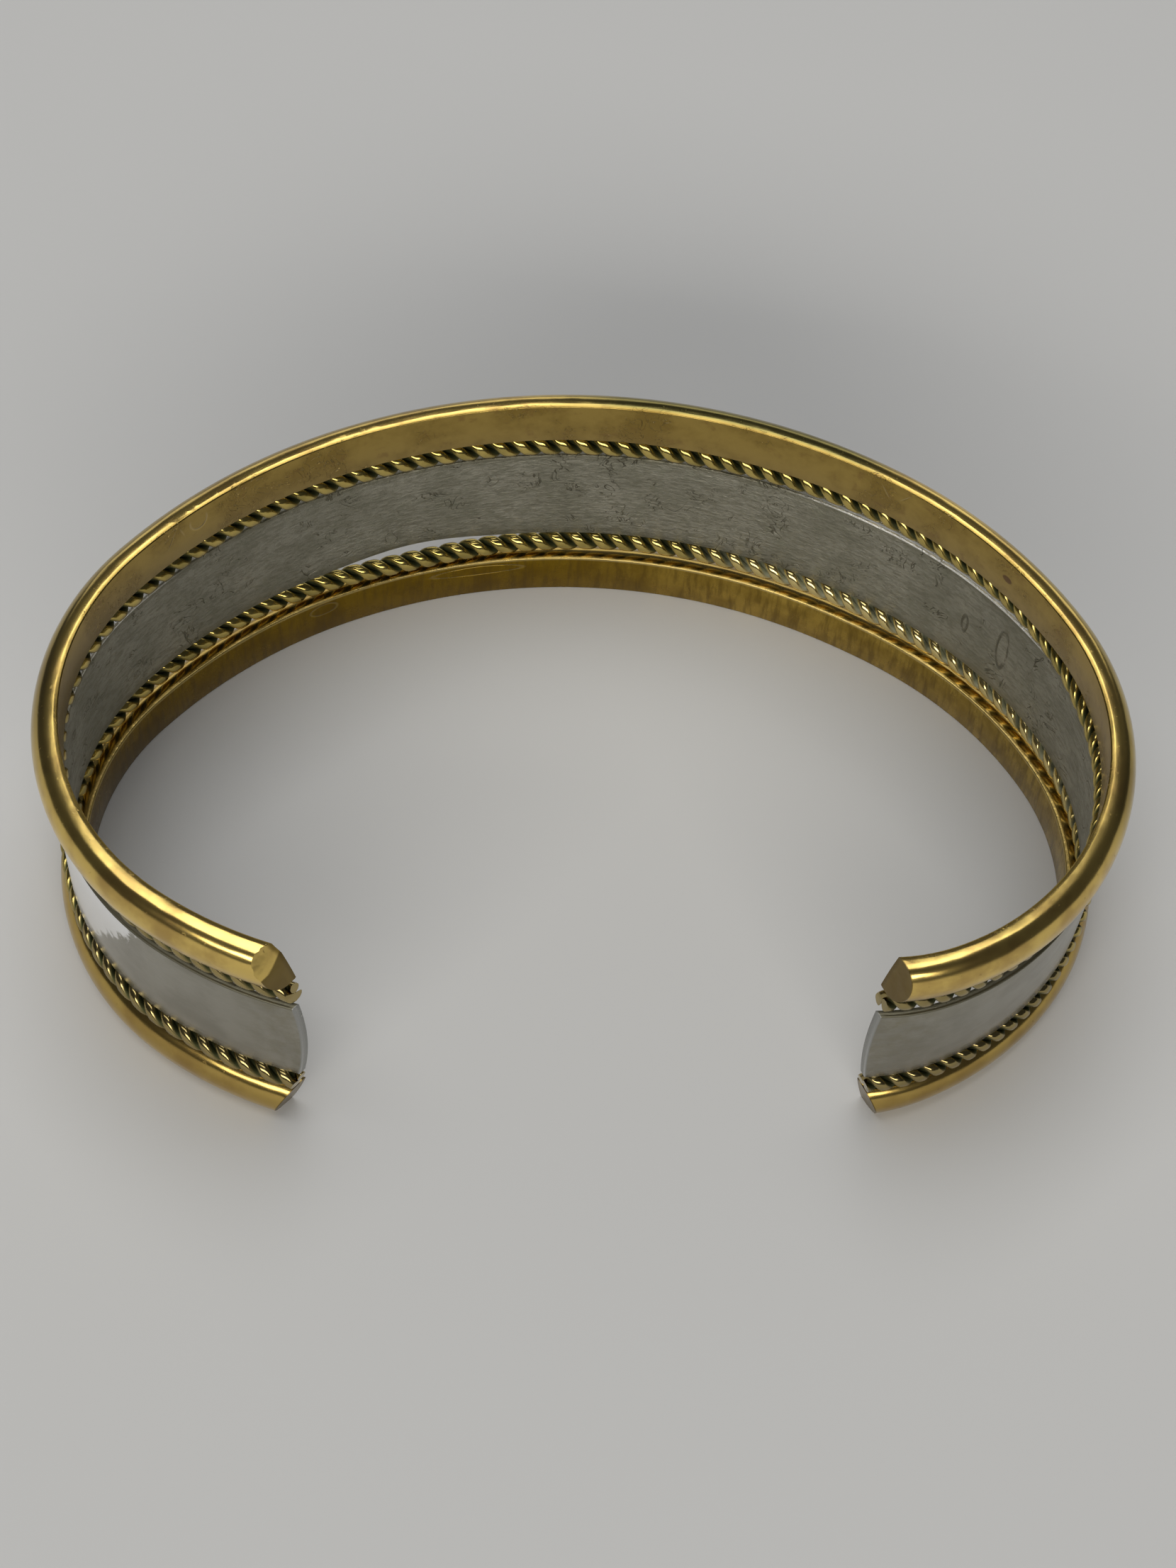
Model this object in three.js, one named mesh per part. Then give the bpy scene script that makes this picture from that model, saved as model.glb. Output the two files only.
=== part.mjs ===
// An open cuff bracelet of five strips, laid edge to edge and bent to one oval: a half-round
// brass rail at each edge, a plain silver band in the middle, and a brass rope between the band
// and each rail. The cuff lies on the edge of its lower rail.
// Millimetres. X is its width, Y points from the front opening to the middle of the back, Z is up.
import * as THREE from "three";

const DEGREE = Math.PI / 180;

// The oval on the wrist side of the rails, as arcs that run from the middle of the back
const BACK_RADIUS = 35;
const BACK_ANGLE = 28.4;
const LEFT_SHOULDER_RADIUS = 31.5;
const LEFT_SHOULDER_ANGLE = 24.5;
const LEFT_SIDE_RADIUS = 14.8;
const LEFT_SIDE_ANGLE = 95.3;
const LEFT_FRONT_RADIUS = 23.6;
const LEFT_FRONT_ANGLE = 21.9;
const RIGHT_SHOULDER_RADIUS = 27;
const RIGHT_SHOULDER_ANGLE = 28.6;
const RIGHT_SIDE_RADIUS = 14.7;
const RIGHT_SIDE_ANGLE = 99.1;
const RIGHT_FRONT_RADIUS = 10.3;
const RIGHT_FRONT_ANGLE = 23.3;

// Half-round rail: flat on the wrist side, a narrow level land along each edge, domed outside
const RAIL_HEIGHT = 3.25;
const RAIL_THICKNESS = 1.7;
const RAIL_LAND = 0.5;
const RAIL_FACE_CROWN = 0.02;
const RAIL_FACE_FACETS = 5;
const RAIL_DOME_FACETS = 8;

// Flat band
const BAND_HEIGHT = 8;
const BAND_THICKNESS = 0.45;

// Rope of two twisted strands, a little flattened, which lies on the strip below it in the slot
// between a rail and the band
const ROPE_HEIGHT = 1.5;
const ROPE_DEPTH = 1.15;
const ROPE_LAY = 2.47;
const ROPE_STEPS_PER_TURN = 7;
const ROPE_ARC_ANGLES = [-60, 0, 60];
const ROPE_WAIST = 0.35;
const SLOT_HEIGHT = 2.1;
const SEAM_GAP = 0.1;

// How far the middle of the ropes and of the band lies out from the wrist side of the rails
const INLAY_OUT = 0.7;

// Filed ends: how far the top and the bottom of each end are rounded back against its middle, and
// how far its outer side is cut back against the wrist side
const LEFT_END_CROWN = 1.7;
const RIGHT_END_CROWN = 1.1;
const END_BEVEL = 0.8;

// Spacing of the sections along a strip that isn't twisted
const SECTION_SPACING = 2;

const CUFF_HEIGHT = 2 * (RAIL_HEIGHT + SLOT_HEIGHT) + BAND_HEIGHT;

const BRASS = new THREE.MeshStandardMaterial({ color: 0xb08a3c, roughness: 0.32, metalness: 1 });
const DARK_BRASS = new THREE.MeshStandardMaterial({ color: 0x8f6f33, roughness: 0.42, metalness: 1 });
const SILVER = new THREE.MeshStandardMaterial({ color: 0xb4b1aa, roughness: 0.38, metalness: 1 });

const arc = (radius, degrees) => ({ radius, angle: degrees * DEGREE });

const LEFT_ARCS = [
  arc(BACK_RADIUS, BACK_ANGLE),
  arc(LEFT_SHOULDER_RADIUS, LEFT_SHOULDER_ANGLE),
  arc(LEFT_SIDE_RADIUS, LEFT_SIDE_ANGLE),
  arc(LEFT_FRONT_RADIUS, LEFT_FRONT_ANGLE),
];
const RIGHT_ARCS = [
  arc(BACK_RADIUS, BACK_ANGLE),
  arc(RIGHT_SHOULDER_RADIUS, RIGHT_SHOULDER_ANGLE),
  arc(RIGHT_SIDE_RADIUS, RIGHT_SIDE_ANGLE),
  arc(RIGHT_FRONT_RADIUS, RIGHT_FRONT_ANGLE),
];

const runOf = (arcs) => arcs.reduce((sum, { radius, angle }) => sum + radius * angle, 0);
const LEFT_RUN = runOf(LEFT_ARCS);
const RIGHT_RUN = runOf(RIGHT_ARCS);

// The point of the oval at a run from the middle of the back, negative to the left,
// and the direction that points away from the wrist there.
function ovalAt(run) {
  const side = run < 0 ? -1 : 1;
  let rest = Math.abs(run);
  let turned = 0;
  const point = new THREE.Vector2(0, 0);
  for (const { radius, angle } of run < 0 ? LEFT_ARCS : RIGHT_ARCS) {
    const turn = Math.min(angle, rest / radius);
    const next = turned + turn;
    point.x += radius * (Math.sin(next) - Math.sin(turned));
    point.y += radius * (Math.cos(next) - Math.cos(turned));
    turned = next;
    rest -= radius * turn;
    if (rest <= 0) break;
  }
  const outward = new THREE.Vector2(side * Math.sin(turned), Math.cos(turned));
  point.x *= side;
  return { point, outward };
}

// How far a filed end is cut back at a height above the floor and a distance out from the wrist
// side: by its round crown and by its bevel.
function endCut(crown, height, out) {
  const rise = (2 * height) / CUFF_HEIGHT - 1;
  return crown * rise * rise + (END_BEVEL * out) / RAIL_THICKNESS;
}

// A straight strip: its section has x away from the wrist and y up, and it runs along z from 0 to 1.
function straightStrip(section, steps) {
  const shape = new THREE.Shape(section.map(([x, y]) => new THREE.Vector2(x, y)));
  return new THREE.ExtrudeGeometry(shape, { depth: 1, steps, bevelEnabled: false });
}

// Turns each section of a straight strip about its own axis, right-handed, a turn for each lay, and
// then flattens the strip to a share of its depth.
function twist(geometry, lay, flattening) {
  const position = geometry.attributes.position;
  const run = LEFT_RUN + RIGHT_RUN;
  for (let i = 0; i < position.count; i++) {
    const angle = (2 * Math.PI * run * position.getZ(i)) / lay;
    const x = position.getX(i);
    const y = position.getY(i);
    position.setX(i, flattening * (x * Math.cos(angle) - y * Math.sin(angle)));
    position.setY(i, x * Math.sin(angle) + y * Math.cos(angle));
  }
  return geometry;
}

// Bends a straight strip round the oval at a height above the floor, out to the filed ends.
function bend(geometry, outwardShift, baseHeight) {
  const position = geometry.attributes.position;
  for (let i = 0; i < position.count; i++) {
    const height = baseHeight + position.getY(i);
    const out = outwardShift + position.getX(i);
    const start = endCut(LEFT_END_CROWN, height, out) - LEFT_RUN;
    const end = RIGHT_RUN - endCut(RIGHT_END_CROWN, height, out);
    const { point, outward } = ovalAt(THREE.MathUtils.lerp(start, end, position.getZ(i)));
    point.addScaledVector(outward, out);
    position.setXYZ(i, point.x, point.y, height);
  }
  geometry.computeVertexNormals();
  return geometry;
}

const plainSteps = () => Math.ceil((LEFT_RUN + RIGHT_RUN) / SECTION_SPACING);

// The wrist face is very slightly crowned, as drawn half-round wire is.
function railSection() {
  const section = [];
  for (let i = 0; i <= RAIL_DOME_FACETS; i++) {
    const angle = (i / RAIL_DOME_FACETS - 0.5) * Math.PI;
    const out = RAIL_LAND + (RAIL_THICKNESS - RAIL_LAND) * Math.cos(angle);
    section.push([out, (RAIL_HEIGHT / 2) * (1 + Math.sin(angle))]);
  }
  for (let i = 0; i <= RAIL_FACE_FACETS; i++) {
    const share = 1 - (2 * i) / RAIL_FACE_FACETS;
    section.push([RAIL_FACE_CROWN * share * share, (RAIL_HEIGHT / 2) * (1 + share)]);
  }
  return section;
}

function bandSection() {
  const half = BAND_THICKNESS / 2;
  return [
    [-half, 0],
    [half, 0],
    [half, BAND_HEIGHT],
    [-half, BAND_HEIGHT],
  ];
}

// Two strands side by side, each drawn by points round its outer side, with a waist between them.
function ropeSection() {
  const strand = ROPE_HEIGHT / 4;
  const waist = ROPE_WAIST * strand;
  const lobe = (side) =>
    ROPE_ARC_ANGLES.map((degrees) => [
      side * strand * (1 + Math.cos(degrees * DEGREE)),
      side * strand * Math.sin(degrees * DEGREE),
    ]);
  return [...lobe(1), [0, waist], ...lobe(-1), [0, -waist]];
}

function rail(baseHeight) {
  return bend(straightStrip(railSection(), plainSteps()), 0, baseHeight);
}

function band(baseHeight) {
  return bend(straightStrip(bandSection(), plainSteps()), INLAY_OUT, baseHeight);
}

// A rope on the strip whose upper edge is at a height above the floor
function rope(seatHeight) {
  const turns = (LEFT_RUN + RIGHT_RUN) / ROPE_LAY;
  const straight = straightStrip(ropeSection(), Math.ceil(turns * ROPE_STEPS_PER_TURN));
  const twisted = twist(straight, ROPE_LAY, ROPE_DEPTH / ROPE_HEIGHT);
  return bend(twisted, INLAY_OUT, seatHeight + SEAM_GAP + ROPE_HEIGHT / 2);
}

const BAND_BASE_HEIGHT = RAIL_HEIGHT + SLOT_HEIGHT;

const strips = [
  ["lower_rail", rail(0), DARK_BRASS],
  ["lower_rope", rope(RAIL_HEIGHT), BRASS],
  ["silver_band", band(BAND_BASE_HEIGHT), SILVER],
  ["upper_rope", rope(BAND_BASE_HEIGHT + BAND_HEIGHT), BRASS],
  ["upper_rail", rail(CUFF_HEIGHT - RAIL_HEIGHT), BRASS],
];

const cuff = new THREE.Group();
for (const [name, geometry, material] of strips) {
  const strip = new THREE.Mesh(geometry, material);
  strip.name = name;
  cuff.add(strip);
}

// The origin is under the middle of the cuff, on the floor.
const middle = new THREE.Box3().setFromObject(cuff).getCenter(new THREE.Vector3());
for (const strip of cuff.children) strip.position.set(-middle.x, -middle.y, 0);

export default cuff;
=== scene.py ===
# An open cuff bracelet lying on its lower edge: a silver band between two twisted brass ropes and
# two half-round brass rails. Every strip is shaped straight, filed at its ends and then bent round
# the oval, as the real one is. Metres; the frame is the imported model's.
import functools
import math

import bpy
from mathutils import Matrix, Vector


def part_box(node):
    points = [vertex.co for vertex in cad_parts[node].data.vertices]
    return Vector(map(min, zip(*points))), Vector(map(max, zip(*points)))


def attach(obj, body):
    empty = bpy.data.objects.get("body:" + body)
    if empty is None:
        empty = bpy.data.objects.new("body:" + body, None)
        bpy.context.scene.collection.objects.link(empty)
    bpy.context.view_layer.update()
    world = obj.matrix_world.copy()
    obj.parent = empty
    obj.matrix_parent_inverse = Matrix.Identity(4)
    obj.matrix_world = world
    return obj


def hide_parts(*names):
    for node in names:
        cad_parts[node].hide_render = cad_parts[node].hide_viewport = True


MM = 0.001

# The oval on the wrist side of the rails: radius in mm and angle in degrees of each arc, from the
# middle of the back to each end
BACK_ARC = (35.0, 28.4)
LEFT_ARCS = [BACK_ARC, (31.5, 24.5), (14.8, 95.3), (23.6, 21.9)]
RIGHT_ARCS = [BACK_ARC, (27.0, 28.6), (14.7, 99.1), (10.3, 23.3)]
LONGEST_CURVE_PIECE = math.radians(30)

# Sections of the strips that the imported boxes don't give. The rails' domes reach a little less far
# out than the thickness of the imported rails, which are faceted.
RAIL_THICKNESS = 1.7 * MM
DOME_REACH = 1.65 * MM
RAIL_LAND = 0.5 * MM
CREASE_ROUND = 0.09 * MM
BAND_THICKNESS = 0.45 * MM
BAND_EDGE_ROUND = 0.08 * MM
ROPE_HEIGHT = 1.5 * MM
ROPE_DEPTH = 1.15 * MM
ROPE_LAY = 2.47 * MM
INLAY_OUT = 0.7 * MM

# Filed ends: how far the top and the bottom of each end are rounded back against its middle, and
# how far its outer side is cut back against the wrist side
LEFT_END_CROWN = 1.7 * MM
RIGHT_END_CROWN = 1.1 * MM
END_BEVEL = 0.8 * MM

# The corner that is filed off the upper rail's left end: a point on the cut and its direction
CORNER_CUT_PLACE = Vector((2.6, 1.35, 18.2)) * MM
CORNER_CUT_DIRECTION = Vector((-0.72, 0.5, 0.48))

# Places along the strips are runs: lengths along the wrist side from the left end. Most stretches
# of the cuff are two pairs of runs, over which something fades in and out again.

# Where light shows between the band and the lower rope: how far the band's edge rises there and
# the rope bulges towards the wrist
SLIVER_RUN = (45.8 * MM, 59.0 * MM)
SLIVER_RISE = 0.45 * MM
ROPE_BULGE = 0.22 * MM

# Past that place the lower rope lies against the band, and light shows under it
ROPE_RISE = 0.38 * MM
ROPE_RISE_STRETCH = ((57 * MM, 66 * MM), (80 * MM, 87 * MM))

# On the left and the right side the lower rope lies further out
LOWER_ROPE_OUT = 0.3 * MM
LOWER_ROPE_OUT_STRETCHES = (
    ((18 * MM, 26 * MM), (41 * MM, 49 * MM)),
    ((82 * MM, 88 * MM), (103 * MM, 109 * MM)),
)

# On the right half of the back the upper rope does
UPPER_ROPE_OUT = 0.2 * MM
UPPER_ROPE_OUT_STRETCH = ((66 * MM, 82 * MM), (90 * MM, 95 * MM))

# Towards both ends the upper rope lies nearer the wrist
UPPER_ROPE_IN = 0.36 * MM
UPPER_ROPE_IN_LEFT = (26 * MM, 18 * MM)
UPPER_ROPE_IN_RIGHT = (93 * MM, 99 * MM)

# On the right arm both ropes are laid tighter
TIGHT_LAY_RUN = (100 * MM, 132 * MM)
TIGHT_LAY_PULL = 4.8 * MM

# The lower part of the right side bulges out a little, and that of the right arm is tucked in
# towards the wrist
BULGE_RUN = (78 * MM, 106 * MM)
BULGE = 0.3 * MM
TUCK_RUN = (101 * MM, 134 * MM)
TUCK = 1.1 * MM

# The share of the way to its middle that a rail's dome is rounded from each edge
DOME_ROUND_SHARE = 0.999

# Fineness of the oval and of the meshes
OVAL_RESOLUTION = 48
SECTION_SPACING = 0.6 * MM
DOME_SEGMENTS = 10
EDGE_SEGMENTS = 3
BAND_ROWS = 4
STRAND_SIDES = 16
STEPS_PER_LAY = 22
SPARE_LAYS = 4
END_SLICES = 24
SMOOTH_ANGLE = math.radians(40)

# Vertices nearer than this to a place are at it
NEAR = MM / 100

# How deep a height of 1 is in the surface's bump
BUMP_DEPTH = 0.05 * MM

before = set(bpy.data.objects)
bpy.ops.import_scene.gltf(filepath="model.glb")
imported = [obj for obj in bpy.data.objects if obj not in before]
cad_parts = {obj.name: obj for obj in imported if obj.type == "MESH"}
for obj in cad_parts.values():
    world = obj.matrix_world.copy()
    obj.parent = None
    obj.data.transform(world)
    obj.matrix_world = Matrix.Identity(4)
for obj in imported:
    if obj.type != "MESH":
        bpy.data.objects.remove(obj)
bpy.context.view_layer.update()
CUFF_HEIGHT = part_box("upper_rail")[1].z


def start_from_nothing_selected():
    if bpy.context.object and bpy.context.object.mode != "OBJECT":
        bpy.ops.object.mode_set(mode="OBJECT")
    bpy.ops.object.select_all(action="DESELECT")


def arc_run(arcs):
    return sum(radius * MM * math.radians(degrees) for radius, degrees in arcs)


WHOLE_RUN = arc_run(LEFT_ARCS) + arc_run(RIGHT_ARCS)


def side_points(arcs, side):
    """Points of one side of the oval from the back outward: place, direction of the run, and the
    handle length of the piece that ends there."""
    place = Vector((0, 0))
    turned = 0.0
    points = [(place.copy(), Vector((1, 0)), 0.0)]
    for radius_mm, degrees in arcs:
        radius = radius_mm * MM
        pieces = math.ceil(math.radians(degrees) / LONGEST_CURVE_PIECE)
        turn = math.radians(degrees) / pieces
        handle = 4 / 3 * math.tan(turn / 4) * radius
        for _ in range(pieces):
            place.x += radius * (math.sin(turned + turn) - math.sin(turned))
            place.y += radius * (math.cos(turned + turn) - math.cos(turned))
            turned += turn
            along = Vector((math.cos(turned), -math.sin(turned) * side))
            points.append((Vector((place.x * side, place.y)), along, handle))
    return points


def oval_shift():
    """Where the middle of the back lies in the frame, from the upper rail's box. The box reaches
    to the right as far as the side arc does."""
    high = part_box("upper_rail")[1]
    turned = [math.radians(sum(degrees for _, degrees in RIGHT_ARCS[:count])) for count in (1, 2)]
    back_radius, shoulder_radius, side_radius = (radius * MM for radius, _ in RIGHT_ARCS[:3])
    widest = back_radius * math.sin(turned[0])
    widest += shoulder_radius * (math.sin(turned[1]) - math.sin(turned[0]))
    widest += side_radius * (1 - math.sin(turned[1]))
    return Vector((high.x - widest - RAIL_THICKNESS, high.y - RAIL_THICKNESS))


def make_oval():
    """The bezier curve that the straight strips are bent along, from the left end to the right."""
    shift = oval_shift()
    left = side_points(LEFT_ARCS, -1)
    right = side_points(RIGHT_ARCS, 1)
    stations = []
    for index in range(len(left) - 1, 0, -1):
        place, along, handle = left[index]
        before = left[index + 1][2] if index + 1 < len(left) else handle
        stations.append((place, along, before, handle))
    stations.append((right[0][0], right[0][1], left[1][2], right[1][2]))
    for index in range(1, len(right)):
        place, along, handle = right[index]
        after = right[index + 1][2] if index + 1 < len(right) else handle
        stations.append((place, along, handle, after))
    curve = bpy.data.curves.new("oval", "CURVE")
    curve.dimensions = "2D"
    curve.fill_mode = "NONE"
    curve.resolution_u = OVAL_RESOLUTION
    spline = curve.splines.new("BEZIER")
    spline.bezier_points.add(len(stations) - 1)
    for point, (place, along, before, after) in zip(spline.bezier_points, stations):
        centre = place + shift
        point.handle_left_type = "FREE"
        point.handle_right_type = "FREE"
        point.co = (centre.x, centre.y, 0)
        point.handle_left = (centre.x - along.x * before, centre.y - along.y * before, 0)
        point.handle_right = (centre.x + along.x * after, centre.y + along.y * after, 0)
    oval = bpy.data.objects.new("oval", curve)
    bpy.context.scene.collection.objects.link(oval)
    return oval


def choose(mesh_part, test):
    """In edit mode, selects the vertices or the edges of the active mesh that pass a test."""
    bpy.ops.mesh.select_all(action="DESELECT")
    modes = {"vertices": "VERT", "edges": "EDGE"}
    bpy.ops.mesh.select_mode(type=modes[mesh_part])
    bpy.ops.object.mode_set(mode="OBJECT")
    mesh = bpy.context.object.data
    for element in getattr(mesh, mesh_part):
        element.select = test(element, mesh.vertices)
    bpy.ops.object.mode_set(mode="EDIT")


def apply_modifier(piece, kind, **settings):
    bpy.ops.object.select_all(action="DESELECT")
    piece.select_set(True)
    bpy.context.view_layer.objects.active = piece
    modifier = piece.modifiers.new(kind.lower(), kind)
    for name, value in settings.items():
        setattr(modifier, name, value)
    bpy.ops.object.modifier_apply(modifier=modifier.name)


def box_bar(name, inner, outer, height):
    """A straight bar along the whole run, as a cube brought to size, left in edit mode."""
    start_from_nothing_selected()
    middle = (WHOLE_RUN / 2, (inner + outer) / 2, height / 2)
    bpy.ops.mesh.primitive_cube_add(size=1, location=middle)
    bar = bpy.context.object
    bar.name = name
    bar.scale = (WHOLE_RUN, outer - inner, height)
    bpy.ops.object.transform_apply(location=True, rotation=True, scale=True)
    bpy.ops.object.mode_set(mode="EDIT")
    return bar


def runs_along(test):
    """A test for edges that run along the bar and whose ends pass a test on a vertex place."""

    def passes(edge, vertices):
        first = vertices[edge.vertices[0]].co
        second = vertices[edge.vertices[1]].co
        return abs(first.x - second.x) > MM and test(first) and test(second)

    return passes


def cut_across(place, direction):
    bpy.ops.mesh.select_all(action="SELECT")
    bpy.ops.mesh.bisect(plane_co=place, plane_no=direction)


def cut_into_sections():
    """Cuts a straight bar across at an even spacing, so that it can bend."""
    cuts = math.ceil(WHOLE_RUN / SECTION_SPACING)
    for index in range(1, cuts):
        cut_across((WHOLE_RUN * index / cuts, 0, 0), (1, 0, 0))


def rail_bar(name, height):
    """A half-round bar: the two outer edges of a bar are rounded until they meet in one dome."""
    half = height / 2
    outer = RAIL_LAND + half
    bar = box_bar(name, 0, outer, height)
    choose("edges", runs_along(lambda place: place.y > outer - NEAR))
    round_size = half * DOME_ROUND_SHARE
    bpy.ops.mesh.bevel(offset=round_size, segments=DOME_SEGMENTS, profile=0.5, affect="EDGES")
    choose("vertices", lambda vertex, _: vertex.co.y > RAIL_LAND + NEAR)
    flatten = (DOME_REACH - RAIL_LAND) / half
    bpy.ops.transform.resize(value=(1, flatten, 1), center_override=(0, RAIL_LAND, 0))
    choose("edges", runs_along(lambda place: place.y < NEAR))
    bpy.ops.mesh.bevel(offset=CREASE_ROUND, segments=EDGE_SEGMENTS, profile=0.5, affect="EDGES")
    cut_into_sections()
    bpy.ops.object.mode_set(mode="OBJECT")
    return bar


def band_bar(name, height):
    """A flat bar with its four long edges softened."""
    inner = INLAY_OUT - BAND_THICKNESS / 2
    bar = box_bar(name, inner, inner + BAND_THICKNESS, height)
    choose("edges", runs_along(lambda place: True))
    bpy.ops.mesh.bevel(
        offset=BAND_EDGE_ROUND,
        segments=EDGE_SEGMENTS,
        profile=0.5,
        affect="EDGES",
    )
    for row in range(1, BAND_ROWS):
        cut_across((0, 0, height * row / BAND_ROWS), (0, 0, 1))
    cut_into_sections()
    bpy.ops.object.mode_set(mode="OBJECT")
    return bar


def rope_bar(name):
    """Two strands twisted right-handed round one axis, and then flattened a little. A few more
    lays than the run needs are cut off with the ends."""
    lays = math.ceil(WHOLE_RUN / ROPE_LAY) + SPARE_LAYS
    strand_radius = ROPE_HEIGHT / 4
    slope = 2 * math.pi * strand_radius / ROPE_LAY
    widening = math.sqrt(1 + slope * slope)
    start_from_nothing_selected()
    bpy.ops.mesh.primitive_circle_add(
        vertices=STRAND_SIDES,
        radius=strand_radius,
        fill_type="NGON",
        location=(0, strand_radius, 0),
        rotation=(0, math.pi / 2, 0),
    )
    rope = bpy.context.object
    rope.name = name
    bpy.ops.object.transform_apply(location=True, rotation=True, scale=True)
    bpy.ops.object.mode_set(mode="EDIT")
    bpy.ops.mesh.select_all(action="SELECT")
    bpy.ops.transform.resize(value=(1, 1, widening), center_override=(0, strand_radius, 0))
    bpy.ops.mesh.delete(type="ONLY_FACE")
    bpy.ops.mesh.select_all(action="SELECT")
    step = (ROPE_LAY / STEPS_PER_LAY, 0, 0)
    for _ in range(STEPS_PER_LAY):
        bpy.ops.mesh.extrude_region_move(TRANSFORM_OT_translate={"value": step})
        bpy.ops.transform.rotate(
            value=-2 * math.pi / STEPS_PER_LAY,
            orient_axis="X",
            center_override=(0, 0, 0),
        )
    bpy.ops.object.mode_set(mode="OBJECT")
    apply_modifier(
        rope,
        "ARRAY",
        count=lays,
        use_relative_offset=False,
        use_constant_offset=True,
        constant_offset_displace=(ROPE_LAY, 0, 0),
        use_merge_vertices=True,
        merge_threshold=NEAR / 2,
    )
    bpy.ops.object.mode_set(mode="EDIT")
    bpy.ops.mesh.select_all(action="DESELECT")
    bpy.ops.mesh.select_mode(type="EDGE")
    bpy.ops.mesh.select_non_manifold()
    bpy.ops.mesh.fill_holes(sides=0)
    bpy.ops.mesh.select_all(action="SELECT")
    bpy.ops.mesh.duplicate()
    bpy.ops.transform.rotate(value=math.pi, orient_axis="X", center_override=(0, 0, 0))
    bpy.ops.mesh.select_all(action="SELECT")
    bpy.ops.mesh.normals_make_consistent(inside=False)
    flatten = ROPE_DEPTH / ROPE_HEIGHT
    bpy.ops.transform.resize(value=(1, flatten, 1), center_override=(0, 0, 0))
    bpy.ops.transform.translate(value=(-ROPE_LAY, INLAY_OUT, 0))
    bpy.ops.object.mode_set(mode="OBJECT")
    return rope


def end_block():
    """The outline that all ends are filed to, as a block from end to end, 1 mm wider than the
    strips. Its ends are crowned over their height and bevelled back towards their outer side."""
    inner = -MM
    outer = RAIL_THICKNESS + MM
    block = box_bar("end_block", inner, outer, CUFF_HEIGHT)
    for index in range(1, END_SLICES):
        cut_across((0, 0, CUFF_HEIGHT * index / END_SLICES), (0, 0, 1))
    for index in range(END_SLICES + 1):
        level = CUFF_HEIGHT * index / END_SLICES
        rise = 2 * index / END_SLICES - 1
        for run, crown, side in ((0, LEFT_END_CROWN, 1), (WHOLE_RUN, RIGHT_END_CROWN, -1)):
            for out in (inner, outer):
                place = Vector((run, out, level))
                cut = crown * rise * rise + END_BEVEL * out / RAIL_THICKNESS
                choose("vertices", lambda vertex, _: (vertex.co - place).length < NEAR)
                bpy.ops.transform.translate(value=(side * cut, 0, 0))
    bpy.ops.object.mode_set(mode="OBJECT")
    return block


def swell(value, low, high):
    """A smooth bump: 0 outside low and high, 1 in the middle."""
    share = (value - low) / (high - low)
    if not 0 < share < 1:
        return 0.0
    return math.sin(math.pi * share) ** 2


def ease(value, low, high):
    """0 before low, 1 past high, smooth between; the other way round where low is higher."""
    share = min(1.0, max(0.0, (value - low) / (high - low)))
    return share * share * (3 - 2 * share)


def push(piece, direction, amount, weight):
    """Moves the surface of a straight strip along an axis, by an amount at a weight of 1."""
    group = piece.vertex_groups.new(name="push")
    for vertex in piece.data.vertices:
        share = weight(vertex.co)
        if share:
            group.add([vertex.index], share, "REPLACE")
    apply_modifier(
        piece, "DISPLACE", direction=direction, strength=amount, mid_level=0.0, vertex_group="push"
    )
    piece.vertex_groups.clear()


def tighten_lay(rope):
    """Draws the right arm's part of a straight rope together."""
    start, end = TIGHT_LAY_RUN

    def weight(place):
        return min(1, max(0, (place.x - start) / (end - start)))

    push(rope, "X", -TIGHT_LAY_PULL, weight)


def remember_straight_place(piece, base):
    """Keeps each vertex's place on the straight strip, in mm, as the attribute that the
    materials read, so that a pattern follows the strip round the oval. Z is from the base."""
    mesh = piece.data
    straight = mesh.attributes.new("straight", "FLOAT_VECTOR", "POINT")
    for vertex, value in zip(mesh.vertices, straight.data):
        value.vector = (vertex.co - Vector((0, 0, base))) / MM


def cut_strip(piece, base, block, corner=False):
    """Lifts a straight strip to its height above the floor and files its ends, and a corner."""
    start_from_nothing_selected()
    piece.select_set(True)
    bpy.context.view_layer.objects.active = piece
    piece.location.z = base
    bpy.ops.object.transform_apply(location=True, rotation=False, scale=False)
    apply_modifier(piece, "BOOLEAN", operation="INTERSECT", solver="EXACT", object=block)
    if corner:
        bpy.ops.object.mode_set(mode="EDIT")
        bpy.ops.mesh.select_all(action="SELECT")
        bpy.ops.mesh.bisect(
            plane_co=CORNER_CUT_PLACE,
            plane_no=CORNER_CUT_DIRECTION,
            clear_outer=True,
            use_fill=True,
        )
        bpy.ops.object.mode_set(mode="OBJECT")
    remember_straight_place(piece, base)


def raise_lower_edge(band, base, height):
    """Raises the band's lower edge where light shows under it."""

    def weight(place):
        depth = (base + height - place.z) / height
        return swell(place.x, *SLIVER_RUN) * depth ** 4

    push(band, "Z", SLIVER_RISE, weight)


def on_stretch(start, end):
    """A weight that fades in over one pair of runs and out over another."""
    return lambda place: ease(place.x, *start) - ease(place.x, *end)


def near_the_ends(place):
    return ease(place.x, *UPPER_ROPE_IN_LEFT) + ease(place.x, *UPPER_ROPE_IN_RIGHT)


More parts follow.
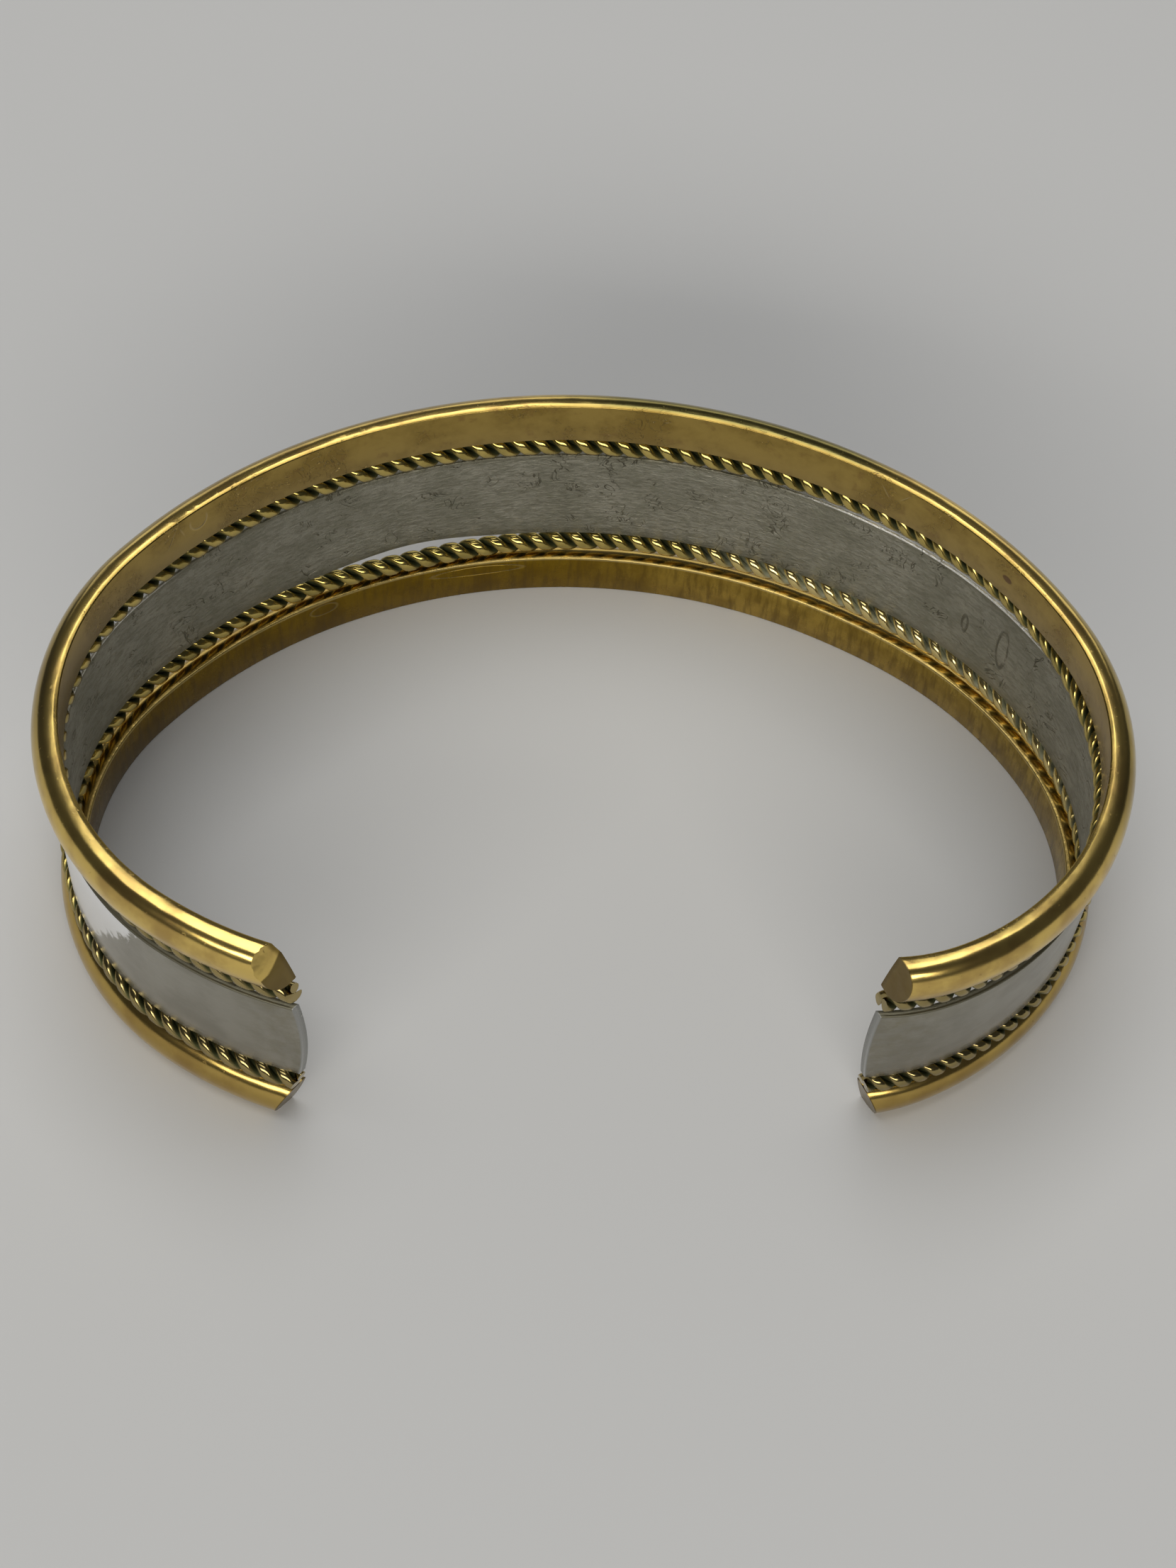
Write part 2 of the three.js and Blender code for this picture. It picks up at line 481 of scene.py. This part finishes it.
def settle_rope(rope, node):
    """Moves a straight rope in its slot to where it lies along the cuff."""
    if node == "lower_rope":
        push(rope, "Y", -ROPE_BULGE, lambda place: swell(place.x, *SLIVER_RUN))
        push(rope, "Z", ROPE_RISE, on_stretch(*ROPE_RISE_STRETCH))
        for stretch in LOWER_ROPE_OUT_STRETCHES:
            push(rope, "Y", LOWER_ROPE_OUT, on_stretch(*stretch))
    else:
        push(rope, "Y", -UPPER_ROPE_IN, near_the_ends)
        push(rope, "Y", UPPER_ROPE_OUT, on_stretch(*UPPER_ROPE_OUT_STRETCH))


def bulge_weight(place):
    return swell(place.x, *BULGE_RUN) * (1 - place.z / CUFF_HEIGHT)


def tuck_weight(place):
    depth = 1 - place.z / CUFF_HEIGHT
    return swell(place.x, *TUCK_RUN) * depth ** 3


def finish_strip(piece, node, oval):
    """Shapes the right side, bends the strip and puts it in the place of a node."""
    push(piece, "Y", BULGE, bulge_weight)
    push(piece, "Y", -TUCK, tuck_weight)
    apply_modifier(piece, "CURVE", object=oval, deform_axis="POS_X")
    bpy.ops.object.shade_smooth_by_angle(angle=SMOOTH_ANGLE)
    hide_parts(node)
    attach(piece, "root")


class Field:
    """A socket of a material's node tree. Arithmetic on it adds Math nodes."""

    def __init__(self, finish, socket):
        self.finish = finish
        self.socket = socket

    def __add__(self, other):
        return self.finish.math("ADD", self, other)

    def __sub__(self, other):
        return self.finish.math("SUBTRACT", self, other)

    def __mul__(self, other):
        return self.finish.math("MULTIPLY", self, other)

    def __truediv__(self, other):
        return self.finish.math("DIVIDE", self, other)

    def __rsub__(self, other):
        return self.finish.math("SUBTRACT", other, self)

    def __abs__(self):
        return self.finish.math("ABSOLUTE", self)

    __radd__ = __add__
    __rmul__ = __mul__


class Finish:
    """A procedural metal finish that follows a strip along its run. The run, the distance out and
    the height up the strip are in mm."""

    def __init__(self, name):
        self.material = bpy.data.materials.new(name)
        self.material.use_nodes = True
        self.tree = self.material.node_tree
        self.tree.nodes.clear()
        self.place = self.node("ShaderNodeAttribute", {"attribute_name": "straight"}, {}, "Vector")
        parts = self.node("ShaderNodeSeparateXYZ", {}, {"Vector": self.place})
        self.run, self.out, self.up = (
            Field(self, parts.socket.node.outputs[name]) for name in ("X", "Y", "Z")
        )

    def node(self, kind, settings, inputs, output=0):
        """Adds a node of a kind. Its settings come first, then the values or links of its
        sockets."""
        node = self.tree.nodes.new(kind)
        for name, value in settings.items():
            setattr(node, name, value)
        for name, value in inputs.items():
            if isinstance(value, Field):
                self.tree.links.new(value.socket, node.inputs[name])
            else:
                node.inputs[name].default_value = value
        return Field(self, node.outputs[output])

    def math(self, operation, first, second=0.0):
        return self.node("ShaderNodeMath", {"operation": operation}, {0: first, 1: second})

    def most(self, *values):
        return functools.reduce(lambda first, second: self.math("MAXIMUM", first, second), values)

    def rise(self, value, low, high):
        """0 below low, 1 above high, smooth between; the other way round where low is higher."""
        if low > high:
            return 1 - self.rise(value, high, low)
        settings = {"interpolation_type": "SMOOTHSTEP"}
        inputs = {"Value": value, "From Min": low, "From Max": high}
        return self.node("ShaderNodeMapRange", settings, inputs)

    def stretch(self, start, end):
        """1 on a stretch of the run that fades in over one pair and out over another."""
        return self.rise(self.run, *start) * self.rise(self.run, *end)

    def both_ends(self, left, right):
        """1 towards both ends of the run, fading in over a pair on each side."""
        return self.most(self.rise(self.run, *left), self.rise(self.run, *right))

    def mix(self, share, first, second):
        """Blends two colours."""
        settings = {"data_type": "RGBA"}
        first = first if isinstance(first, Field) else (*first, 1)
        second = second if isinstance(second, Field) else (*second, 1)
        return self.node("ShaderNodeMix", settings, {0: share, 6: first, 7: second}, 2)

    @staticmethod
    def blend(share, first, second):
        """Blends two numbers."""
        return first + share * (second - first)

    def drawn_out(self, run_share, out_share=1, up_share=1):
        """The place on the strip with its axes scaled, for a pattern that is drawn out."""
        shares = (run_share, out_share, up_share)
        settings = {"operation": "MULTIPLY"}
        return self.node("ShaderNodeVectorMath", settings, {0: self.place, 1: shares})

    def noise(self, place, scale, detail=2.0, roughness=0.5, distortion=0.0):
        """Noise of about 0 to 1 with a middle of 0.5."""
        inputs = {
            "Vector": place,
            "Scale": scale,
            "Detail": detail,
            "Roughness": roughness,
            "Distortion": distortion,
        }
        return self.node("ShaderNodeTexNoise", {}, inputs)

    def line(self, value, half_width):
        """1 where a value is 0, falling to 0 at the half width on both sides."""
        return self.rise(abs(value), half_width, 0)

    def spot(self, run, up, half_run, half_up):
        """The distance from a place on the strip, 1 on an oval of these half sizes."""
        along = (self.run - run) / half_run
        across = (self.up - up) / half_up
        return self.math("SQRT", along * along + across * across)

    def ring(self, run, up, half_run, half_up, half_width):
        """A line round such an oval. Its width is a share of the oval's size."""
        return self.line(self.spot(run, up, half_run, half_up) - 1, half_width)

    def scratch(self, run, up, lean, half_length, half_width):
        """A straight scratch across the strip, which leans by so much run for each step up."""
        beside = self.run - run - (self.up - up) * lean
        return self.line(beside, half_width) * self.rise(abs(self.up - up), half_length, 0.0)

    def hairlines(self, scale, half_width, distortion):
        """Thin wandering lines: where a distorted noise passes its middle value."""
        noise = self.noise(self.place, scale, distortion=distortion)
        return self.line(noise - 0.5, half_width)

    def filed_end(self, base):
        """1 on the filed ends of the strip whose base is at a height in mm."""
        rise = 2 * (self.up + base) / (CUFF_HEIGHT / MM) - 1
        bevel = self.out * (END_BEVEL / RAIL_THICKNESS)
        left = self.run - rise * rise * (LEFT_END_CROWN / MM) - bevel
        right = WHOLE_RUN / MM - self.run - rise * rise * (RIGHT_END_CROWN / MM) - bevel
        return self.most(self.rise(left, *FILED_DEPTH), self.rise(right, *FILED_DEPTH))

    def metal(self, colour, roughness, height=None):
        """Puts a metal surface on the output, with a height in units of the bump's depth."""
        inputs = {"Base Color": colour, "Roughness": roughness, "Metallic": 1.0}
        if height is not None:
            bump = {"Height": height, "Distance": BUMP_DEPTH}
            inputs["Normal"] = self.node("ShaderNodeBump", {}, bump)
        surface = self.node("ShaderNodeBsdfPrincipled", {}, inputs)
        output = self.tree.nodes.new("ShaderNodeOutputMaterial")
        self.tree.links.new(surface.socket, output.inputs["Surface"])
        return self.material


# Colours of the brass
BRASS_LIGHT = (0.81, 0.585, 0.175)
BRASS_WORN = (0.54, 0.365, 0.115)
BRASS_GRIME = (0.22, 0.15, 0.05)
BRASS_FILED = (0.15, 0.105, 0.035)
BRASS_TARNISHED = (0.17, 0.16, 0.055)
BRASS_DULL = (0.32, 0.245, 0.10)
# Painted shade for the lower part of a rail's dome, which faces the floor
BRASS_UNDERSIDE_SHADE = (0.38, 0.255, 0.085)
BRASS_OLIVE = (0.27, 0.215, 0.065)
BRASS_BROWN = (0.33, 0.215, 0.055)
BRASS_SCRATCHED = (0.70, 0.56, 0.28)
BRASS_SPOT = (0.10, 0.04, 0.015)

# The wrist side of the upper rail
UPPER_FLAT_LIGHT = (0.38, 0.265, 0.07)
UPPER_FLAT_DARK = (0.27, 0.18, 0.042)
UPPER_FLAT_BLOTCH = (0.22, 0.125, 0.04)

# The wrist side of the lower rail, warm on the left half and mottled on the right
LOWER_WARM_LIGHT = (0.27, 0.165, 0.008)
LOWER_WARM_DARK = (0.19, 0.11, 0.004)
LOWER_MOTTLED_LIGHT = (0.47, 0.32, 0.06)
LOWER_MOTTLED_DARK = (0.31, 0.20, 0.03)
# A painted reflection of woven cloth on the lower rail's wrist side
LOWER_WEAVE_REFLECTION = (0.15, 0.09, 0.012)
LOWER_MARK = (0.50, 0.39, 0.16)
# A painted highlight along the rounded top edge of the lower rail's wrist side
LOWER_CREASE_HIGHLIGHT = (0.80, 0.64, 0.28)

# The ropes: the strands' crowns, and what fills their grooves
ROPE_LIGHT = (0.56, 0.43, 0.13)
ROPE_WORN = (0.37, 0.29, 0.085)
ROPE_ON_ARM = (0.31, 0.245, 0.125)
ROPE_PALE = (0.84, 0.68, 0.32)
GROOVE_DARK = (0.085, 0.092, 0.04)
GROOVE_GREEN = (0.60, 0.60, 0.45)

# The silver band, dull inside and polished outside
SILVER_LIGHT = (0.37, 0.355, 0.29)
SILVER_DARK = (0.29, 0.28, 0.22)
SILVER_PATCH = (0.22, 0.23, 0.16)
SILVER_MARK = (0.11, 0.10, 0.07)
SILVER_FINE = (0.185, 0.18, 0.13)
# Painted shade along the band's lower edge, and dirt with painted shade along its upper edge
SILVER_EDGE_DIRT_AND_SHADE = (0.15, 0.14, 0.09)
# A painted highlight on the band's upper edge
SILVER_EDGE_HIGHLIGHT = (0.95, 0.94, 0.88)
SILVER_POLISHED_LIGHT = (0.36, 0.345, 0.29)
SILVER_POLISHED_DARK = (0.27, 0.255, 0.205)
# A painted reflection on the polished outer side of the left arm
SILVER_WHITE_REFLECTION = (0.97, 0.97, 0.97)
SILVER_WORN_END = (0.25, 0.225, 0.15)
# Grime and painted shade on the band's upper edge on the arms
SILVER_GRIMY_SHADED_EDGE = (0.19, 0.18, 0.13)
SILVER_FILED = (0.34, 0.34, 0.32)

# Stretches of the run in mm, each with the pair that it fades in over and the pair that it fades
# out over
TARNISHED_BACK = ((58.0, 66.0), (84.0, 78.0))
DULL_LEFT_SIDE = ((16.0, 24.0), (62.0, 54.0))
OLIVE_RIGHT_SIDE = ((84.0, 92.0), (112.0, 106.0))
VERDIGRIS_BACK = ((68.0, 76.0), (104.0, 96.0))
HIGHLIT_EDGE_LEFT = ((18.0, 23.0), (38.0, 32.0))
HIGHLIT_EDGE_RIGHT = ((74.0, 82.0), (96.0, 92.0))
WARM_TO_MOTTLED = (60.0, 74.0)

# The ends of the run in mm: the pairs that something fades in over, left and right
ROPE_ON_THE_ARMS = ((20.0, 16.0), (107.0, 111.0))
BAND_ON_THE_ARMS = ((18.0, 15.0), (108.0, 111.0))
WORN_BAND_ENDS = ((5.0, 1.0), (119.0, 123.0))
FILED_ROPE_ENDS = ((1.2, 1.05), (123.9, 124.1))

# Where the painted bright reflection on the left arm's outer side starts at the band's middle, with
# a ragged slanting edge, and where it fades out round the side
WHITE_REFLECTION_START = (12.8, 13.5)
WHITE_REFLECTION_END = (40.0, 30.0)
WHITE_REFLECTION_RAGGEDNESS = 4
WHITE_REFLECTION_SLANT = 0.7
BAND_MIDDLE = 4

# Pairs that a mask fades over: distance out in mm for the wrist side and the outer side, depth of
# the filed surface, and height up the band in mm for its edges
UPPER_WRIST_SIDE = (0.3, 0.05)
LOWER_WRIST_SIDE = (0.25, 0.05)
BAND_OUTER_SIDE = (0.6, 0.8)
FILED_DEPTH = (0.08, 0.03)
BAND_LOWER_SHADE = (0.9, 0.1)
BAND_UPPER_DIRT_AND_SHADE = (7.4, 7.9)
BAND_UPPER_EDGE = (7.86, 7.92)
LOWER_RAIL_CREASE = (3.02, 3.12)

# Distance from the rope's axis, in mm, that a strand's crown and its groove lie at
GROOVE_DISTANCE = (0.72, 0.47)

# Marks: run and height up the strip, half sizes along both, and the width of the outline
ARC_MARK = (38.4, 2.3, 0.6, 0.8, 0.2)
LENS_MARK = (56.3, 2.45, 2.9, 0.42, 0.11)
LOOP_MARK = (46.2, 2.4, 0.9, 0.5, 0.16)
LONG_DENT = (90.75, 4.35, 0.42, 1.8, 0.25)
SHORT_DENT = (87.8, 3.9, 0.2, 0.75, 0.5)
DARK_SPOT = (90.3, 1.65, 0.4, 0.3)

# Scratches of the upper rail: run, height up, lean, half length and half width
SCRATCHES = (
    (36.4, 2.0, 0.5, 0.9, 0.09),
    (37.2, 2.1, -0.3, 0.7, 0.1),
    (81.3, 2.2, -0.6, 0.7, 0.1),
    (82.6, 2.4, 0.7, 0.6, 0.1),
)


def dome_brass(finish):
    """Colour, roughness and height of the polished outer side of a rail."""
    cloud = finish.noise(finish.place, scale=0.45, detail=4.0, roughness=0.55)
    colour = finish.mix(finish.rise(cloud, 0.4, 0.7), BRASS_LIGHT, BRASS_WORN)
    specks = finish.noise(finish.place, scale=3.0, detail=3.0, roughness=0.6)
    grime = finish.rise(specks, 0.66, 0.78)
    colour = finish.mix(grime * 0.6, colour, BRASS_GRIME)
    waves = finish.noise(finish.drawn_out(0.35, up_share=0.8), scale=0.9, roughness=0.45)
    grain = finish.noise(finish.drawn_out(0.5, 6, 6), scale=1.0)
    return colour, 0.15 + 0.1 * cloud + 0.25 * grime, waves + 0.03 * grain


def upper_rail_finish(base):
    finish = Finish("upper_rail_brass")
    dome, dome_roughness, dome_height = dome_brass(finish)
    tarnish = finish.stretch(*TARNISHED_BACK) * finish.rise(finish.up, 1.4, 2.4)
    dome = finish.mix(tarnish * 0.85, dome, BRASS_TARNISHED)
    dull_side = finish.stretch(*DULL_LEFT_SIDE) * finish.rise(finish.out, 0.55, 0.95)
    dome = finish.mix(dull_side * 0.75, dome, BRASS_DULL)
    # Painted shade: the lower part of the dome, facing the floor, is darkened
    shaded_underside = finish.rise(finish.up, 1.5, 0.5) * finish.rise(finish.out, 0.4, 0.6)
    dome = finish.mix(shaded_underside * 0.5, dome, BRASS_UNDERSIDE_SHADE)
    olive_side = finish.stretch(*OLIVE_RIGHT_SIDE) * finish.rise(finish.out, 0.75, 1.05)
    dome = finish.mix(olive_side * 0.6, dome, BRASS_OLIVE)
    flat = finish.rise(finish.out, *UPPER_WRIST_SIDE)
    cloud = finish.noise(finish.place, scale=0.28, detail=5.0, roughness=0.62)
    colour = finish.mix(finish.rise(cloud, 0.38, 0.64), UPPER_FLAT_LIGHT, UPPER_FLAT_DARK)
    blotches = finish.noise(finish.place, scale=0.9, detail=4.0, roughness=0.65)
    colour = finish.mix(finish.rise(blotches, 0.56, 0.68) * 0.45, colour, UPPER_FLAT_BLOTCH)
    hairs = finish.hairlines(scale=0.8, half_width=0.012, distortion=2.5)
    hairs = hairs * finish.rise(cloud, 0.5, 0.6)
    arc = finish.ring(*ARC_MARK) * finish.rise(finish.up, 2.7, 2.2)
    marks = finish.most(hairs, arc, *(finish.scratch(*scratch) for scratch in SCRATCHES))
    colour = finish.mix(marks * 0.3, colour, BRASS_SCRATCHED)
    dark_spot = finish.rise(finish.spot(*DARK_SPOT), 1.1, 0.7)
    colour = finish.mix(dark_spot * 0.8, colour, BRASS_SPOT)
    colour = finish.mix(flat, dome, colour)
    filed = finish.filed_end(base)
    colour = finish.mix(filed * 0.9, colour, BRASS_FILED)
    roughness = finish.blend(flat, dome_roughness, 0.16 + 0.2 * cloud)
    height = finish.blend(flat, dome_height, 0.4 * cloud - 0.5 * marks)
    return finish.metal(colour, roughness + 0.1 * filed, height)


def lower_rail_finish(base):
    finish = Finish("lower_rail_brass")
    dome, dome_roughness, dome_height = dome_brass(finish)
    dome = finish.mix(0.55, dome, BRASS_BROWN)
    flat = finish.rise(finish.out, *LOWER_WRIST_SIDE)
    cloud = finish.noise(finish.place, scale=0.4, detail=5.0, roughness=0.6)
    warm = finish.mix(finish.rise(cloud, 0.35, 0.7), LOWER_WARM_LIGHT, LOWER_WARM_DARK)
    mottled = finish.mix(finish.rise(cloud, 0.35, 0.65), LOWER_MOTTLED_LIGHT, LOWER_MOTTLED_DARK)
    colour = finish.mix(finish.rise(finish.run, *WARM_TO_MOTTLED), warm, mottled)
    # A painted reflection of woven cloth: fine streaks up the wrist side, which also give a faint
    # bump
    reflected_weave = finish.noise(finish.drawn_out(2.4, 0, 0.35), scale=1.0, detail=3.0, roughness=0.6)
    colour = finish.mix(finish.rise(reflected_weave, 0.42, 0.66) * 0.6, colour, LOWER_WEAVE_REFLECTION)
    marks = finish.most(finish.ring(*LENS_MARK), finish.ring(*LOOP_MARK))
    colour = finish.mix(marks * 0.3, colour, LOWER_MARK)
    # A painted highlight along the rounded top edge of the wrist side
    crease_highlight = finish.rise(finish.up, *LOWER_RAIL_CREASE)
    colour = finish.mix(crease_highlight * 0.4, colour, LOWER_CREASE_HIGHLIGHT)
    colour = finish.mix(flat, dome, colour)
    filed = finish.filed_end(base)
    colour = finish.mix(filed * 0.9, colour, BRASS_FILED)
    roughness = finish.blend(flat, dome_roughness, 0.18 + 0.2 * cloud)
    height = finish.blend(flat, dome_height, 0.5 * reflected_weave - 0.5 * marks)
    return finish.metal(colour, roughness + 0.1 * filed, height)


def rope_finish(name, verdigris_share):
    """Bright crowns over dark grooves. On the back of the cuff the crowns are paler and the
    grooves are green, as far as the rope has verdigris."""
    finish = Finish(name)
    sideways = (finish.out - INLAY_OUT / MM) * (ROPE_HEIGHT / ROPE_DEPTH)
    axis_distance = finish.math("SQRT", sideways * sideways + finish.up * finish.up)
    groove = finish.rise(axis_distance, *GROOVE_DISTANCE)
    groove = groove * (1 - finish.both_ends(*FILED_ROPE_ENDS))
    cloud = finish.noise(finish.place, scale=0.5, detail=3.0, roughness=0.6)
    crown = finish.mix(finish.rise(cloud, 0.4, 0.65), ROPE_LIGHT, ROPE_WORN)
    crown = finish.mix(finish.both_ends(*ROPE_ON_THE_ARMS) * 0.65, crown, ROPE_ON_ARM)
    back = finish.stretch(*VERDIGRIS_BACK)
    verdigris = back * finish.rise(cloud, 0.3, 0.5) * verdigris_share
    crown = finish.mix(back * (0.6 * verdigris_share), crown, ROPE_PALE)
    filling = finish.mix(verdigris * 0.8, GROOVE_DARK, GROOVE_GREEN)
    colour = finish.mix(groove, crown, filling)
    return finish.metal(colour, 0.17 + 0.5 * groove)


def band_finish(base):
    finish = Finish("band_silver_worn")
    outside = finish.rise(finish.out, *BAND_OUTER_SIDE)
    cloud = finish.noise(finish.place, scale=0.3, detail=5.0, roughness=0.6)
    patch = finish.noise(finish.place, scale=1.1, detail=5.0, roughness=0.7)
    dull = finish.mix(finish.rise(cloud, 0.36, 0.66), SILVER_LIGHT, SILVER_DARK)
    dull = finish.mix(finish.rise(patch, 0.5, 0.72) * 0.4, dull, SILVER_PATCH)
    worms = finish.hairlines(scale=0.5, half_width=0.026, distortion=3.0)
    worms = worms * finish.rise(finish.noise(finish.place, scale=0.5, detail=1.0), 0.55, 0.62)
    brushed = finish.noise(finish.drawn_out(0.16), scale=5.0, detail=3.0, roughness=0.6)
    dents = finish.most(finish.ring(*LONG_DENT), finish.ring(*SHORT_DENT))
    marks = finish.most(worms, dents * finish.rise(patch, 0.3, 0.5))
    dull = finish.mix(marks * 0.8, dull, SILVER_MARK)
    fine_place = finish.drawn_out(0.6, up_share=1.6)
    fine = finish.noise(fine_place, scale=3.2, detail=4.0, roughness=0.7)
    dull = finish.mix(finish.rise(fine, 0.42, 0.62) * 0.6, dull, SILVER_FINE)
    # Painted shade darkens the inner side towards the lower edge, where the lower rope lies against
    # it,
    # and dirt with painted shade darkens it towards the upper edge
    lower_edge_shade = finish.rise(finish.up, *BAND_LOWER_SHADE)
    upper_edge_dirt_and_shade = finish.rise(finish.up, *BAND_UPPER_DIRT_AND_SHADE)
    dull = finish.mix(finish.most(lower_edge_shade, upper_edge_dirt_and_shade) * 0.5, dull, SILVER_EDGE_DIRT_AND_SHADE)
    upper_edge = finish.rise(finish.up, *BAND_UPPER_EDGE)
    # A painted highlight along the band's upper edge on two stretches of the back
    edge_highlight = finish.most(finish.stretch(*HIGHLIT_EDGE_LEFT), finish.stretch(*HIGHLIT_EDGE_RIGHT))
    dull = finish.mix(edge_highlight * upper_edge, dull, SILVER_EDGE_HIGHLIGHT)
    polished = finish.rise(cloud, 0.35, 0.7)
    bright = finish.mix(polished, SILVER_POLISHED_LIGHT, SILVER_POLISHED_DARK)
    # A painted bright reflection on the left arm's outer side, with a ragged slanting edge
    ragged = WHITE_REFLECTION_RAGGEDNESS * (patch - 0.5) + WHITE_REFLECTION_SLANT * (finish.up - BAND_MIDDLE)
    white_reflection = finish.rise(finish.run + ragged, *WHITE_REFLECTION_START) * finish.rise(finish.run, *WHITE_REFLECTION_END)
    bright = finish.mix(white_reflection, bright, SILVER_WHITE_REFLECTION)
    worn_ends = finish.both_ends(*WORN_BAND_ENDS) * finish.rise(patch, 0.35, 0.7)
    bright = finish.mix(worn_ends * 0.7, bright, SILVER_WORN_END)
    colour = finish.mix(outside, dull, bright)
    # On the arms the band's upper edge is darkened: partly grime, partly painted shade
    grimy_shaded_edge = finish.both_ends(*BAND_ON_THE_ARMS) * upper_edge
    colour = finish.mix(grimy_shaded_edge, colour, SILVER_GRIMY_SHADED_EDGE)
    colour = finish.mix(finish.filed_end(base), colour, SILVER_FILED)
    inner_roughness = 0.34 + 0.2 * cloud + 0.1 * marks
    roughness = finish.blend(outside, inner_roughness, 0.16 + 0.12 * patch)
    inner_height = brushed + 1.6 * patch + 2.0 * fine - 1.6 * marks
    height = finish.blend(outside, inner_height, 0.15 * brushed + 0.2 * patch)
    return finish.metal(colour, roughness + 0.3 * grimy_shaded_edge, height)


def plain(name, colour, roughness):
    material = bpy.data.materials.new(name)
    material.use_nodes = True
    shader = material.node_tree.nodes["Principled BSDF"]
    shader.inputs["Base Color"].default_value = (*colour, 1)
    shader.inputs["Roughness"].default_value = roughness
    return material


def wear(piece, material):
    piece.data.materials.clear()
    piece.data.materials.append(material)


oval = make_oval()
block = end_block()

for node, make_finish in (("lower_rail", lower_rail_finish), ("upper_rail", upper_rail_finish)):
    low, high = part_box(node)
    finish = make_finish(low.z / MM)
    rail = rail_bar(finish.name, high.z - low.z)
    cut_strip(rail, low.z, block, corner=node == "upper_rail")
    finish_strip(rail, node, oval)
    wear(rail, finish)

low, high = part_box("silver_band")
band = band_bar("band_silver", high.z - low.z)
cut_strip(band, low.z, block)
raise_lower_edge(band, low.z, high.z - low.z)
finish_strip(band, "silver_band", oval)
wear(band, band_finish(low.z / MM))

for node, name, verdigris_share in (
    ("lower_rope", "lower_rope_brass", 1.0),
    ("upper_rope", "upper_rope_brass", 0.0),
):
    low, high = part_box(node)
    rope = rope_bar(name)
    tighten_lay(rope)
    cut_strip(rope, (low.z + high.z) / 2, block)
    settle_rope(rope, node)
    finish_strip(rope, node, oval)
    wear(rope, rope_finish(name, verdigris_share))

for helper in (oval, block):
    bpy.data.objects.remove(helper)

FLOOR_SIZE = 6
FLOOR_COLOUR = (0.62, 0.62, 0.61)

start_from_nothing_selected()
bpy.ops.mesh.primitive_plane_add(size=FLOOR_SIZE)
floor = bpy.context.object
floor.name = "floor"
floor.data.materials.append(plain("floor_pale", FLOOR_COLOUR, 0.7))


def area_light(name, place, aim, size, power, colour=(1, 1, 1)):
    """A soft rectangular light at a place, turned towards a point."""
    light = bpy.data.lights.new(name, "AREA")
    light.shape = "RECTANGLE"
    light.size, light.size_y = size
    light.energy = power
    light.color = colour
    holder = bpy.data.objects.new(name, light)
    holder.location = place
    holder.rotation_euler = (Vector(aim) - Vector(place)).to_track_quat("-Z", "Y").to_euler()
    bpy.context.scene.collection.objects.link(holder)


area_light("ceiling_softbox", (-0.1, 0.1, 1.0), (0, 0, 0), (0.9, 0.7), 5.0)
area_light("front_window", (-0.1, -1.0, 0.62), (0, 0, 0), (1.4, 0.34), 8.4, (1, 0.97, 0.92))
area_light("bright_horizon", (0, 1.2, 0.35), (0, 0, 0.05), (2.0, 0.5), 2.8)

world = bpy.data.worlds.new("soft_surroundings")
world.use_nodes = True
world.node_tree.nodes["Background"].inputs["Color"].default_value = (0.75, 0.77, 0.8, 1)
world.node_tree.nodes["Background"].inputs["Strength"].default_value = 0.07
bpy.context.scene.world = world

# The camera of the photograph: its place in mm, its right and forward directions, and its lens and
# film in mm
CAMERA_PLACE = (0.857, -98.55, 168.64)
CAMERA_RIGHT = Vector((0.9978, 0.0579, 0.032))
CAMERA_FORWARD = Vector((-0.0028, 0.5191, -0.8547))
CAMERA_LENS = 73.29
FILM_HEIGHT = 36

lens = bpy.data.cameras.new("photo_camera")
lens.sensor_fit = "VERTICAL"
lens.sensor_height = FILM_HEIGHT
lens.lens = CAMERA_LENS
lens.clip_start = 0.01
camera = bpy.data.objects.new("photo_camera", lens)
back = -CAMERA_FORWARD.normalized()
right = (CAMERA_RIGHT - CAMERA_RIGHT.dot(back) * back).normalized()
turn = Matrix((right, back.cross(right), back)).transposed()
camera.matrix_world = Matrix.Translation(Vector(CAMERA_PLACE) * MM) @ turn.to_4x4()
bpy.context.scene.collection.objects.link(camera)
bpy.context.scene.camera = camera
bpy.context.scene.view_settings.view_transform = "Standard"
